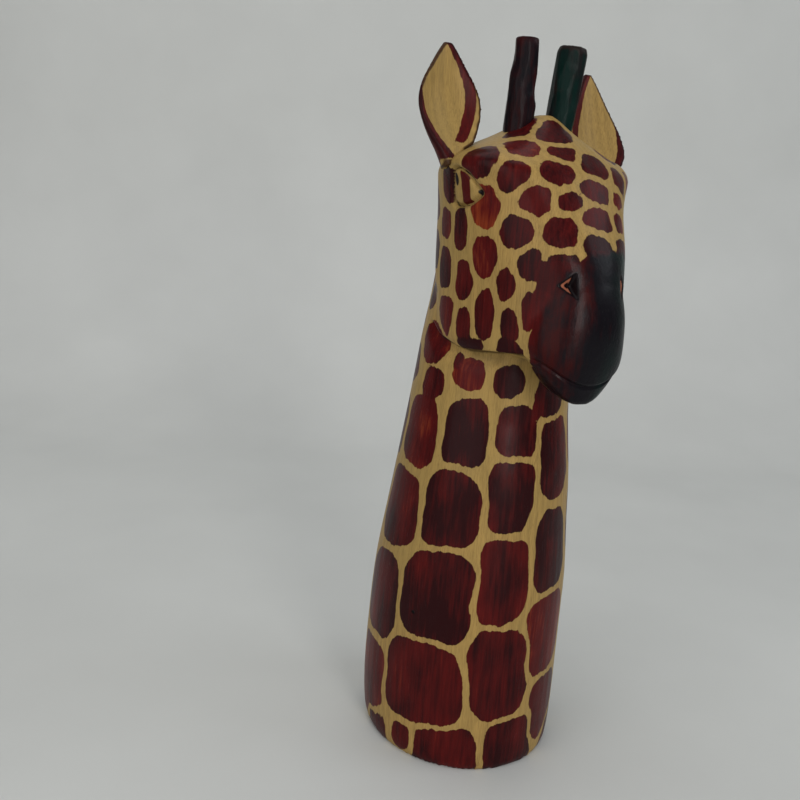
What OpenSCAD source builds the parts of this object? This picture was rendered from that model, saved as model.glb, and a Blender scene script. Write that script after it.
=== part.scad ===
// Carved giraffe bust: one block of wood carved as neck and head, two whittled
// horn pegs and two leaf ears, glued into sockets drilled in the block.
// The animal faces -Y, its right side is at -X and +Z is up.
// The origin is the centre of the flat underside.

/* [Overall] */
// Height from the table to the horn tips
statue_h = 199; // [192:1:240]
// Width of the foot of the neck, side to side
foot_w = 58; // [46:1:72]
// Depth of the foot of the neck, front to back
foot_d = 61; // [48:1:74]
// Width of the neck where it enters the head
neck_w = 38; // [31:1:42]
// Depth of the neck where it enters the head
neck_d = 41.5; // [34:0.5:46]

/* [Head] */
// Height of the crest between the horns
crest_h = 181; // [150:1:184]
// Forward shift of the crest from the centre of the foot
crest_y = 16; // [12:0.5:20]
// Width over the brows above the eyes
brow_w = 51; // [42:1:62]
// Height of the face from the crest to the chin
face_l = 71.5; // [58:0.5:86]
// Forward reach of the muzzle from the centre of the foot
nose_y = 47; // [40:1:57]
// Depth of the head from the bridge of the nose to the nape
head_d = 56; // [48:1:62]
// Width of the muzzle at the lips
muzzle_w = 29; // [24:1:35]
// Depth of the muzzle at the lips
muzzle_d = 33; // [27:1:40]

/* [Horns] */
// Diameter of the round shank that is glued into the head
horn_shank_d = 8; // [6.5:0.1:9.6]
// Depth of each drilled horn socket
horn_socket_l = 9; // [7:0.5:12]
// Distance between the two horns, centre to centre
horn_gap = 13; // [10.8:0.1:16]
// Forward lean of the horns, in degrees
horn_tilt = 5.5; // [0:0.5:10]
// Outward splay of each horn, in degrees
horn_splay = 2.5; // [0:0.5:6]
// Width of the right horn at its top, as a part of its shank
horn_right_tip = 0.82; // [0.7:0.02:1.1]
// Width of the left horn at its top, as a part of its shank
horn_left_tip = 1.02; // [0.7:0.02:1.1]

/* [Ears] */
// Length of the ear blade above its seat
ear_l = 30; // [25:0.5:37]
// Width of the right ear blade at its widest
ear_right_w = 18.5; // [15:0.5:24]
// Width of the left ear blade at its widest
ear_left_w = 21.5; // [16:0.5:26]
// Thickness of the ear blade at its root
ear_thick = 6; // [5:0.5:8]
// Diameter of the round stem that is glued into the head
ear_stem_d = 5; // [4:0.1:6]
// Depth of each drilled ear socket
ear_socket_l = 8; // [6:0.5:10]
// Backward lean of the right ear, in degrees
ear_right_tilt = 9; // [0:1:20]
// Outward lean of the right ear, in degrees
ear_right_splay = 3; // [0:1:12]
// Backward lean of the left ear, in degrees
ear_left_tilt = 14; // [0:1:20]
// Outward lean of the left ear, in degrees
ear_left_splay = 0; // [0:1:12]

/* [Fits] */
// Glue clearance on the diameter of each socket
glue_fit = 0.2; // [0.1:0.05:0.4]
// Glue gap below the end of each shank and stem
end_gap = 0.5; // [0.2:0.1:1]
// Gap between the root of an ear and the wood it sits on, as a part of the head
ear_trim = 0.008; // [0.004:0.001:0.012]

/* [Hidden] */

wood = [0.78, 0.60, 0.34];
horn_paint = [0.11, 0.07, 0.08];

ring_points = 48;
bore_fn = 48;

// ---- curves and skins ---------------------------------------------------------
// Smooth row of a table, s rows down it, by Catmull-Rom curves.
function curve(p0, p1, p2, p3, t) =
    0.5 * (2 * p1 + (p2 - p0) * t + (2 * p0 - 5 * p1 + 4 * p2 - p3) * t * t
    + (3 * p1 - p0 - 3 * p2 + p3) * t * t * t);
function station(table, s) =
    let (last = len(table) - 1, i = min(floor(s), last - 1), t = s - i)
    curve(table[max(i - 1, 0)], table[i], table[i + 1], table[min(i + 2, last)], t);
function stations(table, count) =
    [for (i = [0:count]) station(table, (len(table) - 1) * i / count)];

// Signed power, which squares the corners of an oval.
function signed_pow(a, e) = sign(a) * pow(abs(a), e);

// Closed skin over a list of rings with equal numbers of points.
module skin(rings) {
    count = len(rings);
    n = len(rings[0]);
    sides = [for (i = [0:count - 2]) for (j = [0:n - 1])
        [i * n + j, (i + 1) * n + j, (i + 1) * n + (j + 1) % n, i * n + (j + 1) % n]];
    first_cap = [for (j = [0:n - 1]) j];
    last_cap = [for (j = [n - 1:-1:0]) (count - 1) * n + j];
    polyhedron([for (ring = rings) each ring], concat([first_cap], sides, [last_cap]));
}

// ---- neck ---------------------------------------------------------------------
// Level rings from the foot up to the crown.
// [height as a part of the neck, flare of the width and of the depth towards
// the foot, forward shift as a part of the crest's]
crown_drop = 5;
neck_h = crest_h - crown_drop;
neck_table = [
    [0.000, 0.790, 0.800, 0.00],
    [0.022, 0.940, 0.930, -0.04],
    [0.100, 0.990, 1.000, -0.06],
    [0.225, 0.960, 0.950, -0.02],
    [0.310, 0.900, 0.880, 0.04],
    [0.400, 0.730, 0.700, 0.10],
    [0.480, 0.580, 0.550, 0.16],
    [0.590, 0.350, 0.290, 0.19],
    [0.690, 0.180, 0.180, 0.27],
    [0.770, 0.030, 0.070, 0.36],
    [0.850, 0.000, 0.000, 0.46],
    [0.930, 0.000, -0.180, 0.56],
    [0.975, -0.280, -0.560, 0.66],
    [1.000, -1.000, -1.300, 0.75],
];
neck_rings = 36;

function flared(top, foot, share) = (top + (foot - top) * share) / 2;
function neck_ring(row) = [for (j = [0:ring_points - 1])
    let (a = 360 * j / ring_points)
    [flared(neck_w, foot_w, row[1]) * cos(a),
     flared(neck_d, foot_d, row[2]) * sin(a) - row[3] * crest_y,
     row[0] * neck_h]];

module neck() {
    skin([for (row = stations(neck_table, neck_rings)) neck_ring(row)]);
}

// ---- head ---------------------------------------------------------------------
// Level rings from the crest down to the jaw.
// [drop below the crest, width, widening to the front, reach from the crest to
// the nose, depth], each as a part of the full size
skull_table = [
    [0.000, 0.08, 0.00, 0.080, 0.09],
    [0.020, 0.19, 0.00, 0.145, 0.19],
    [0.050, 0.31, 0.00, 0.225, 0.31],
    [0.082, 0.46, 0.02, 0.320, 0.46],
    [0.122, 0.70, 0.05, 0.420, 0.60],
    [0.165, 0.91, 0.07, 0.515, 0.69],
    [0.205, 1.00, 0.08, 0.595, 0.77],
    [0.255, 0.97, 0.03, 0.660, 0.82],
    [0.360, 0.90, -0.03, 0.750, 0.89],
    [0.470, 0.86, -0.11, 0.870, 0.96],
    [0.580, 0.82, -0.19, 0.950, 1.00],
    [0.690, 0.80, -0.25, 0.985, 0.98],
    [0.780, 0.79, -0.28, 0.970, 0.94],
    [0.840, 0.76, -0.28, 0.900, 0.81],
    [0.862, 0.66, -0.24, 0.775, 0.64],
];
// Level rings from inside the brow down to the chin, in the same columns.
muzzle_table = [
    [0.300, 0.62, 0.00, 0.630, 1.08],
    [0.440, 0.78, 0.00, 0.805, 1.09],
    [0.560, 0.90, 0.00, 0.935, 1.06],
    [0.670, 0.98, 0.00, 1.000, 1.00],
    [0.760, 1.00, 0.00, 1.008, 0.92],
    [0.840, 0.92, 0.00, 0.985, 0.62],
    [0.900, 0.77, 0.00, 0.950, 0.43],
    [0.950, 0.57, 0.00, 0.915, 0.30],
    [0.985, 0.35, 0.00, 0.885, 0.18],
    [1.000, 0.15, 0.00, 0.860, 0.08],
];
skull_rings = 42;
muzzle_rings = 27;
head_corner = 0.88;

function head_ring(row, width, depth) =
    let (front = -crest_y - row[3] * (nose_y - crest_y), half = row[4] * depth / 2)
    [for (j = [0:ring_points - 1])
        let (a = -360 * j / ring_points, f = signed_pow(sin(a), head_corner))
        [row[1] * width / 2 * (1 - row[2] * f) * signed_pow(cos(a), head_corner),
         front + half + half * f,
         crest_h - row[0] * face_l]];

module head() {
    skin([for (row = stations(skull_table, skull_rings)) head_ring(row, brow_w, head_d)]);
    skin([for (row = stations(muzzle_table, muzzle_rings)) head_ring(row, muzzle_w, muzzle_d)]);
}

// The carved block before its sockets are drilled.
module carved_block() {
    neck();
    head();
}

// ---- sockets ------------------------------------------------------------------
// Each horn stands just behind the crest and is drilled along its own lean.
horn_behind_crest = 2;
horn_seat_drop = 6;
horn_z = crest_h - horn_seat_drop;
horn_l = (statue_h - horn_z) / cos(horn_tilt);
horn_mouth = 12;

module at_horn(side) {
    translate([side * horn_gap / 2, horn_behind_crest - crest_y, horn_z])
        rotate([horn_tilt, side * horn_splay, 0]) children();
}

// Each ear stands on the corner of the roof, inboard of the widest brow, and
// its socket is drilled inwards so that wood is left all round it.
ear_inset = 2.9;
ear_behind_crest = 5.5;
ear_seat_drop = 0.2 * face_l;
ear_drill = 30;
ear_mouth = 8;

module at_ear(side) {
    translate([side * (brow_w / 2 - ear_inset), ear_behind_crest - crest_y, crest_h - ear_seat_drop])
        children();
}

module along_ear_socket(side) {
    at_ear(side) rotate([0, side * ear_drill, 0]) children();
}

module neck_and_head() {
    color(wood) difference() {
        resize([0, 0, 0]) carved_block();
        for (side = [-1, 1]) {
            at_horn(side) translate([0, 0, -horn_socket_l])
                cylinder(h = horn_socket_l + horn_mouth, d = horn_shank_d + glue_fit, $fn = bore_fn);
            along_ear_socket(side) translate([0, 0, -ear_socket_l])
                cylinder(h = ear_socket_l + ear_mouth, d = ear_stem_d + glue_fit, $fn = bore_fn);
        }
    }
}

// ---- horns --------------------------------------------------------------------
// Round shank below, hand-whittled many-sided peg above.
// [height as a part of the peg, radius as a part of the shank's]
function horn_table(tip) = [
    [0.00, 0.97],
    [0.20, 0.98],
    [0.36, 1.04],
    [0.64, (1.04 + tip) / 2],
    [0.94, tip],
    [1.00, 0.88 * tip],
];
horn_sides = 10;

module horn(side, tip) {
    color(horn_paint) at_horn(side) union() {
        translate([0, 0, end_gap - horn_socket_l])
            cylinder(h = horn_socket_l, d = horn_shank_d, $fn = bore_fn);
        skin([for (row = horn_table(tip)) [for (j = [0:horn_sides - 1])
            let (a = 360 * (j + side / 4) / horn_sides, r = row[1] * horn_shank_d / 2)
            [r * cos(a), r * sin(a), row[0] * horn_l]]]);
    }
}

// ---- ears ---------------------------------------------------------------------
// Leaf blade with a hollowed front, on a round stem.
// [height, width, thickness], each as a part of the full size
ear_table = [
    [-0.03, 0.38, 1.00],
    [0.10, 0.53, 1.00],
    [0.24, 0.79, 0.86],
    [0.38, 0.96, 0.72],
    [0.50, 1.00, 0.64],
    [0.64, 0.87, 0.56],
    [0.80, 0.56, 0.50],
    [0.93, 0.29, 0.44],
    [1.00, 0.12, 0.30],
];
ear_rings = 20;
ear_points = 28;
ear_hollow = 4;
ear_outboard = 1;
ear_back = -1;
ear_stem_rise = 4;
left_ear_belly = -0.19;
right_ear_bow = -1.3;

// The blade stands a little outboard of its stem, and further out on a narrow
// head, so that it stays clear of the horn beside it.
horn_lap = 0.9;
function ear_w(side) = side < 0 ? ear_right_w : ear_left_w;
function ear_reach(side) = (horn_gap + horn_shank_d + ear_w(side)) / 2 - horn_lap;
function ear_out(side) = max(ear_outboard, ear_reach(side) - (brow_w / 2 - ear_inset));

// The edges of the blade curl forward, so its open face is hollow. A negative
// belly brings the widest part down towards the root, and a bow moves the
// middle of the blade sideways.
function ear_ring(row, width, belly, bow) =
    let (half = row[1] * width / 2, t = row[2] * ear_thick / 2)
    let (h = row[0] + belly * sin(180 * max(row[0], 0)))
    [for (j = [0:ear_points - 1])
        let (a = 360 * j / ear_points)
        let (curl = ear_hollow * row[1] * (pow(cos(a), 2) - 0.5))
        [half * cos(a) + bow * sin(180 * max(row[0], 0)), t * sin(a) - curl, h * ear_l]];

// The block, a little enlarged about the crown, that the ear's root is cut to.
module ear_bed() {
    crown = [0, -crest_y, crest_h - ear_seat_drop];
    translate(crown) scale(1 + ear_trim) translate(-crown) carved_block();
}

module ear(side, belly, bow, tilt, splay) {
    color(wood) union() {
        along_ear_socket(side) translate([0, 0, end_gap - ear_socket_l])
            cylinder(h = ear_socket_l + ear_stem_rise, d = ear_stem_d, $fn = bore_fn);
        resize([0, 0, 0]) difference() {
            at_ear(side) rotate([-tilt, side * splay, 0]) translate([side * ear_out(side), ear_back, 0])
                skin([for (row = stations(ear_table, ear_rings)) ear_ring(row, ear_w(side), belly, bow)]);
            ear_bed();
        }
    }
}

// ---- sub-parts ----------------------------------------------------------------
module horn_right() {
    horn(-1, horn_right_tip);
}

module horn_left() {
    horn(1, horn_left_tip);
}

module ear_right() {
    ear(-1, 0, right_ear_bow, ear_right_tilt, ear_right_splay);
}

module ear_left() {
    ear(1, left_ear_belly, 0, ear_left_tilt, ear_left_splay);
}

neck_and_head();
horn_right();
horn_left();
ear_right();
ear_left();
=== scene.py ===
"""Carved giraffe bust: the looks of one carved and painted block, two horns and two ears."""

import math
import random

import bmesh
import bpy
import numpy as np
from bpy.props import FloatProperty, FloatVectorProperty, IntProperty, PointerProperty
from mathutils import Matrix


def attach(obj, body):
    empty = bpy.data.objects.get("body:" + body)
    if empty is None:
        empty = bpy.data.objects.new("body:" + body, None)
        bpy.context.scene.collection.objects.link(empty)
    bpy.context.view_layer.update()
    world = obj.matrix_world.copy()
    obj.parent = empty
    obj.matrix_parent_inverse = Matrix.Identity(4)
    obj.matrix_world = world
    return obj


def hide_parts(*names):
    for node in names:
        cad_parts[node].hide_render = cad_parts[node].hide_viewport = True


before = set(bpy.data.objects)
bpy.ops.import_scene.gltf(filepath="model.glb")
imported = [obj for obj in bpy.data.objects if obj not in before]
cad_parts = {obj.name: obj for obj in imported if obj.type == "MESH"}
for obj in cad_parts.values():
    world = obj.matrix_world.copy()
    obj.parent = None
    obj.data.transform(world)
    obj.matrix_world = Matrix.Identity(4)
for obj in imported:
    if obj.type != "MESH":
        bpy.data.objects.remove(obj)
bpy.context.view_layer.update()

bl_info = {
    "name": "Carved giraffe bust",
    "version": (1, 0, 0),
    "blender": (4, 5, 0),
    "location": "3D View > Sidebar > Carving",
    "description": "Carves, paints and stages a wooden giraffe bust",
    "category": "Object",
}

MM = 0.001
# How strongly the old varnish mirrors the room.
VARNISH_SPECULAR = 0.07
# The floor sweep's height in metres, and its turn in degrees.
WALL_HEIGHT = 1.6
WALL_TURN = -27

# ---- the carver's layout ----------------------------------------------------------
# Places are in millimetres, bearings in degrees from the front (0) towards the
# animal's right (90). The animal faces -Y and its right side is at -X.

# Rows of patches round the neck, from the jaw down to the foot:
# (bearing, height, half width along the surface, half height).
NECK_ROWS = (
    ((92, 120, 6.2, 6.1), (53, 113, 4.8, 4.7), (25, 112, 4.6, 4.9), (-9, 109, 6.0, 8.0)),
    ((89, 95, 8.2, 10.0), (50, 97.5, 6.9, 9.6), (16, 99, 6.3, 8.0), (-17, 91.5, 7.4, 11.6)),
    ((95, 72, 9.4, 12.0), (53, 76, 8.8, 11.6), (17, 81.5, 6.9, 10.8), (-17, 64.5, 7.6, 13.0)),
    ((99, 45, 10.2, 13.6), (55.5, 51, 11.8, 14.2), (16.5, 57.5, 8.0, 13.0), (-19, 39.5, 10.0, 13.0)),
    ((103, 16, 9.6, 14.0), (58, 24.3, 13.2, 14.0), (13, 30, 9.8, 14.8), (-24, 15.5, 8.4, 11.0)),
    ((68, 5.5, 3.8, 4.6), (40, 4.5, 9.8, 9.4), (1.5, 6.0, 9.4, 10.6)),
)
# Second touches of the brush, which run into the patch beside them.
NECK_TOUCHES = (
    (84, 109, 4.6, 4.8), (63, 116, 1.5, 2.6), (3, 105, 1.4, 3.0),
)
# Patches on the back of the neck behind the head: the same columns.
NAPE_ROWS = (
    ((133, 125.5, 4.6, 5.0), (164, 127.5, 4.9, 5.8), (196, 126.5, 4.9, 5.4), (228, 125.5, 4.6, 5.0)),
    ((121, 138, 3.6, 4.8), (149, 141, 4.6, 5.8), (181, 142, 4.8, 6.2), (211, 141, 4.4, 5.6),
     (239, 138, 3.8, 4.8)),
    ((133, 154, 4.4, 5.2), (165, 156, 4.6, 5.6), (197, 156.5, 4.4, 5.4), (228, 154, 4.4, 5.2)),
)
# Patches on the middle of the head, then on its right side, which are repeated a
# little differently on its left: (x, y, z, half width, half height, tilt).
MIDDLE_SPOTS = (
    (-8.0, -18.5, 176.3, 3.4, 5.6, 0), (-3.3, -24.6, 175.6, 4.6, 5.4, -8),
    (-4.6, -30.5, 170.5, 4.7, 2.8, 0), (-8.7, -34.3, 165.4, 5.0, 3.5, 0),
    (4.0, -33.0, 167.8, 5.6, 3.7, 6), (13.4, -32.0, 165.4, 4.6, 4.3, 10),
    (-6.4, -37.3, 158.8, 4.1, 2.5, -6), (2.0, -36.8, 161.6, 5.0, 3.3, 8),
    (10.6, -35.6, 160.6, 2.8, 2.6, 0), (-9.4, -39.2, 151.2, 4.4, 4.2, 0),
    (1.6, -39.3, 155.0, 5.2, 3.2, 10), (9.8, -37.6, 154.6, 2.7, 3.0, 0),
    (-0.7, -42.6, 148.0, 4.4, 3.5, 0), (-10.0, -41.0, 144.2, 4.5, 2.9, 0),
    (8.5, -18.5, 176.0, 3.4, 5.6, 0), (14.0, -25.0, 171.0, 4.2, 3.8, 0),
    (9.5, -40.0, 147.5, 4.2, 3.6, 0), (-5.6, 2.6, 170.2, 4.0, 3.6, 0),
    (5.4, 2.4, 170.0, 4.2, 3.4, 0), (-1.0, -4.0, 176.0, 3.6, 3.2, 0),
)
SIDE_SPOTS = (
    (-14.4, -26.8, 170.8, 4.9, 3.8, 0), (-23.7, -23.3, 167.3, 4.6, 4.3, 28),
    (-19.1, -30.0, 164.0, 4.3, 4.1, 0), (-21.7, -23.6, 156.7, 4.0, 5.7, 0),
    (-14.2, -34.2, 158.5, 4.3, 4.1, 0), (-17.5, -31.9, 150.5, 4.3, 4.1, 0),
    (-24.2, -11.2, 161.2, 3.0, 4.5, 0), (-22.4, -8.3, 152.3, 2.9, 4.1, 0),
    (-22.3, -14.4, 150.7, 2.8, 5.2, 0), (-20.3, -23.5, 144.4, 3.9, 5.2, 8),
    (-15.1, -35.5, 143.4, 3.4, 3.9, 0), (-21.4, -7.5, 140.7, 3.2, 5.5, 0),
    (-21.0, -16.1, 137.9, 3.0, 5.2, 0), (-17.7, -29.7, 138.1, 2.3, 3.9, 0),
    (-19.2, -24.2, 129.6, 3.2, 6.0, 0), (-21.2, -9.1, 128.4, 3.8, 5.0, 0),
    (-20.6, -17.6, 126.5, 2.9, 4.2, 0), (-16.4, -31.8, 128.3, 2.7, 3.8, 0),
    (-14.8, -35.6, 131.4, 1.9, 4.8, 0), (-22.0, 1.0, 158.0, 3.6, 5.0, 0),
    (-21.0, 0.5, 145.0, 3.4, 5.0, 0), (-20.0, 2.5, 133.0, 3.2, 4.6, 0),
    (-14.5, 0.0, 169.5, 4.5, 4.2, 0),
)
# Touches along the jaw's edge, darker than the patches that they run into.
JAW_TOUCHES = ((-19.3, -19.4, 121.6, 4.4, 1.5, -4), (-15.6, -31.2, 122.0, 4.0, 1.9, 6))
# The knife line under the jaw: places forward (y) and their heights (z).
JAW_Y = (-36.3, -34.4, -25.9, -16.4, -11.1, -6.3, -1.6)
JAW_Z = (118.7, 121.4, 120.9, 120.3, 121.6, 122.9, 125.9)

# The right eye's outline seen square on: (y, z), anticlockwise from +X.
EYE_CORNERS = (
    (-23.4, 159.2), (-19.0, 156.3), (-13.0, 155.9), (-11.2, 157.6), (-13.4, 166.0),
    (-16.0, 166.4), (-19.6, 164.6),
)
# A worm hole in the side of the neck: (x, y, z).
WORM_HOLE = (-26.0, -11.9, 44.9)
# The right nostril's outline seen from the front: (x, z), anticlockwise from -Y.
NOSTRIL_CORNERS = ((-10.9, 138.9), (-6.9, 135.6), (-6.9, 142.6))


class CarvingSizes(bpy.types.PropertyGroup):
    """How finely the wood is worked and how deep the knife goes."""

    block_grid: FloatProperty(
        name="Block grid", description="Spacing of the points on the block's skin",
        default=0.8 * MM, min=0.4 * MM, max=3 * MM, precision=5, unit="LENGTH")
    small_grid: FloatProperty(
        name="Horn and ear grid", description="Spacing of the points on the horns and ears",
        default=0.42 * MM, min=0.3 * MM, max=2 * MM, precision=5, unit="LENGTH")
    eye_depth: FloatProperty(
        name="Eye depth", description="Depth of the groove cut round each eye",
        default=1.0 * MM, min=0, max=2 * MM, precision=5, unit="LENGTH")
    nostril_depth: FloatProperty(
        name="Nostril depth", description="Depth of each chip-carved nostril",
        default=1.9 * MM, min=0, max=3 * MM, precision=5, unit="LENGTH")
    mouth_depth: FloatProperty(
        name="Mouth depth", description="Depth of the line between the lips",
        default=0.8 * MM, min=0, max=2 * MM, precision=5, unit="LENGTH")
    brow_swell: FloatProperty(
        name="Brow swell", description="How far each brow stands out over its eye",
        default=0.9 * MM, min=0, max=2 * MM, precision=5, unit="LENGTH")
    knife_cuts: IntProperty(
        name="Knife cuts", description="Flat cuts left on each horn by the knife",
        default=46, min=0, max=200)
    hand: IntProperty(
        name="Hand", description="Seed for everything that differs from one carving to the next",
        default=7, min=0)


class PaintColours(bpy.types.PropertyGroup):
    """The colours of the wood and of the paints."""

    wood_light: FloatVectorProperty(
        name="Light wood", description="Wood between the growth rings", subtype="COLOR",
        default=(0.40, 0.255, 0.080), min=0, max=1)
    wood_dark: FloatVectorProperty(
        name="Dark wood", description="Growth rings and fibres", subtype="COLOR",
        default=(0.25, 0.160, 0.053), min=0, max=1)
    patch_dark: FloatVectorProperty(
        name="Dark patch", description="Thick paint on the patches", subtype="COLOR",
        default=(0.020, 0.0015, 0.0022), min=0, max=1)
    patch_red: FloatVectorProperty(
        name="Red patch", description="Thin paint on the patches", subtype="COLOR",
        default=(0.086, 0.0045, 0.0040), min=0, max=1)
    patch_orange: FloatVectorProperty(
        name="Orange patch", description="Paint so thin that the wood warms it", subtype="COLOR",
        default=(0.26, 0.045, 0.012), min=0, max=1)
    black: FloatVectorProperty(
        name="Black paint", description="Muzzle and horn paint", subtype="COLOR",
        default=(0.004, 0.003, 0.005), min=0, max=1)
    green: FloatVectorProperty(
        name="Green tint", description="Tint on the left of the muzzle and the left horn",
        subtype="COLOR", default=(0.001, 0.014, 0.011), min=0, max=1)


class StageSettings(bpy.types.PropertyGroup):
    """Floor, lights and camera."""

    floor_colour: FloatVectorProperty(
        name="Floor colour", description="Colour of the pale floor", subtype="COLOR",
        default=(0.62, 0.63, 0.61), min=0, max=1)
    key_power: FloatProperty(
        name="Key light", description="Power of the soft light at the front", default=3.6,
        min=0, unit="POWER")
    side_power: FloatProperty(
        name="Side light", description="Power of the tall soft light at the side", default=1.2,
        min=0, unit="POWER")
    fill_power: FloatProperty(
        name="Fill light", description="Power of the wide light on the animal's right",
        default=2.6, min=0, unit="POWER")
    ceiling_power: FloatProperty(
        name="Ceiling light", description="Power of the wide light overhead", default=4.2,
        min=0, unit="POWER")
    sky_strength: FloatProperty(
        name="Room light", description="Strength of the light from all round", default=0.22,
        min=0)
    lens: FloatProperty(
        name="Lens", description="Focal length of the camera in millimetres", default=37.1,
        min=10, max=200)


# ---- mesh work ----------------------------------------------------------------------
def merged_copy(node):
    """One closed mesh from the loose triangles of a CAD node."""
    bm = bmesh.new()
    bm.from_mesh(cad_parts[node].data)
    bmesh.ops.remove_doubles(bm, verts=bm.verts, dist=0.002 * MM)
    return bm


def plug_socket(bm, mouth, axis, radius, depth):
    """Closes a drilled socket, because the skin over it is worked as one surface."""
    mouth, axis = np.array(mouth), np.array(axis) / np.linalg.norm(axis)
    wall = []
    for vert in bm.verts:
        offset = np.array(vert.co) / MM - mouth
        along = offset @ axis
        out = np.linalg.norm(offset - along * axis)
        if abs(out - radius) < 0.06 and -depth - 1 < along < depth + 5:
            wall.append(vert)
    wall = set(wall)
    inner = [face for face in bm.faces if all(vert in wall for vert in face.verts)]
    bmesh.ops.delete(bm, geom=inner, context="FACES")
    rim = [edge for edge in bm.edges if edge.is_boundary]
    bmesh.ops.holes_fill(bm, edges=rim, sides=0)
    loose = [vert for vert in bm.verts if not vert.link_faces]
    bmesh.ops.delete(bm, geom=loose, context="VERTS")


def even_skin(bm, name, grid):
    """A new object with the same shape on an even grid of small faces."""
    bmesh.ops.triangulate(bm, faces=bm.faces)
    mesh = bpy.data.meshes.new(name)
    bm.to_mesh(mesh)
    bm.free()
    piece = bpy.data.objects.new(name, mesh)
    bpy.context.scene.collection.objects.link(piece)
    remesh = piece.modifiers.new("Even grid", "REMESH")
    remesh.mode = "VOXEL"
    remesh.voxel_size = grid
    graph = bpy.context.evaluated_depsgraph_get()
    even = bpy.data.meshes.new_from_object(piece.evaluated_get(graph))
    piece.modifiers.clear()
    piece.data = even
    even.name = name
    bpy.data.meshes.remove(mesh)
    return piece


def refine(mesh, wanted, cuts):
    """Splits the faces whose corners all answer yes to wanted(places in mm)."""
    bm = bmesh.new()
    bm.from_mesh(mesh)
    keep = wanted(np.array([vert.co for vert in bm.verts]) / MM)
    edges = [edge for edge in bm.edges if all(keep[vert.index] for vert in edge.verts)]
    bmesh.ops.subdivide_edges(bm, edges=edges, cuts=cuts, use_grid_fill=True)
    bm.to_mesh(mesh)
    bm.free()


def places(mesh):
    """The mesh's points in millimetres."""
    flat = np.empty(len(mesh.vertices) * 3)
    mesh.vertices.foreach_get("co", flat)
    return flat.reshape(-1, 3) / MM


def put_places(mesh, spots):
    mesh.vertices.foreach_set("co", (spots * MM).ravel())
    mesh.update()


def normals(mesh):
    flat = np.empty(len(mesh.vertices) * 3)
    mesh.vertex_normals.foreach_get("vector", flat)
    return flat.reshape(-1, 3)


def edge_ends(mesh):
    flat = np.empty(len(mesh.edges) * 2, dtype=np.int64)
    mesh.edges.foreach_get("vertices", flat)
    return flat.reshape(-1, 2)


def neighbour_mean(values, ends):
    """The mean over each point's neighbours of an array with one row a point."""
    count = np.bincount(ends.ravel(), minlength=len(values))
    total = np.stack([
        np.bincount(ends[:, 0], values[ends[:, 1], k], len(values))
        + np.bincount(ends[:, 1], values[ends[:, 0], k], len(values))
        for k in range(values.shape[1])], axis=1)
    return total / np.maximum(count, 1)[:, None]


def sanded(spots, ends, passes):
    """Smooths the surface without shrinking it; the flat underside stays flat."""
    flat = spots[:, 2] < 0.3
    for _ in range(passes):
        for pull in (0.5, -0.52):
            spots = spots + pull * (neighbour_mean(spots, ends) - spots)
            spots[flat, 2] = 0.0
    return spots


def smooth_step(value, low, high):
    t = np.clip((value - low) / (high - low), 0.0, 1.0)
    return t * t * (3 - 2 * t)


def dent(value, width):
    return np.exp(-(value / width) ** 2)


def outline_gap(u, v, corners, sharpness):
    """Distance outside a convex outline, negative inside it, with rounded corners."""
    total = 0
    for (u0, v0), (u1, v1) in zip(corners, corners[1:] + corners[:1]):
        du, dv = u1 - u0, v1 - v0
        gap = ((u - u0) * dv - (v - v0) * du) / math.hypot(du, dv)
        total = total + np.exp(np.clip(gap * sharpness, -40, 40))
    return np.log(total) / sharpness


def add_layer(mesh, name, values):
    layer = mesh.attributes.new(name, "FLOAT", "POINT")
    layer.data.foreach_set("value", np.asarray(values, dtype=np.float32))


def hollows(mesh, ends):
    """How hollow (+) or how sharp (-) the surface is at each point, in mm."""
    spots, out = places(mesh), normals(mesh)
    smooth = spots
    for _ in range(6):
        smooth = neighbour_mean(smooth, ends)
    lift = ((smooth - spots) * out).sum(1)[:, None]
    for _ in range(3):
        lift = neighbour_mean(lift, ends)
    return lift[:, 0]


def finish_piece(piece, material, slot, *nodes):
    piece.data.polygons.foreach_set("use_smooth", [True] * len(piece.data.polygons))
    piece.data.materials.clear()
    piece.data.materials.append(material)
    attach(piece, "root")
    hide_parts(*nodes)


# ---- the block: features cut with the knife -------------------------------------------
def mirrored(spots, side):
    """The points as if they were on the animal's right side."""
    seen = spots.copy()
    seen[:, 0] *= -side
    return seen


def mouth_height(x):
    return 114.3 + 0.034 * x * x


def jaw_drop(spots):
    """How far each point lies below the knife line under the jaw."""
    reach = smooth_step(np.abs(spots[:, 0]), 9, 12) * smooth_step(-spots[:, 1], -1.0, 3.0)
    reach = reach * smooth_step(spots[:, 1], -37.6, -36.4)
    return np.interp(spots[:, 1], JAW_Y, JAW_Z) - spots[:, 2], reach


def fine_zone(spots):
    """Where the block needs a finer grid: eyes, nostrils, lips and the jaw's edge."""
    x, y, z = np.abs(spots[:, 0]), spots[:, 1], spots[:, 2]
    drop, reach = jaw_drop(spots)
    eye = (x > 17) & (np.abs(y + 17) < 8.6) & (np.abs(z - 161) < 7.5)
    nostril = (np.abs(x - 8.6) < 4.6) & (y < -36) & (np.abs(z - 139) < 6)
    lips = (y < -34) & (np.abs(z - mouth_height(x)) < 1.9)
    return eye | nostril | lips | ((np.abs(drop - 0.4) < 1.8) & (reach > 0))


def eye_gap(spots, side):
    seen = mirrored(spots, side)
    gap = outline_gap(seen[:, 1], seen[:, 2], EYE_CORNERS, 2.2)
    return np.where(seen[:, 0] < -12, gap, 9.0)


def nostril_gap(spots, side):
    seen = mirrored(spots, side)
    gap = outline_gap(seen[:, 0], seen[:, 2], NOSTRIL_CORNERS, 3.5)
    return np.where((seen[:, 1] < -34) & (seen[:, 0] < 0), gap, 9.0)


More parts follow.
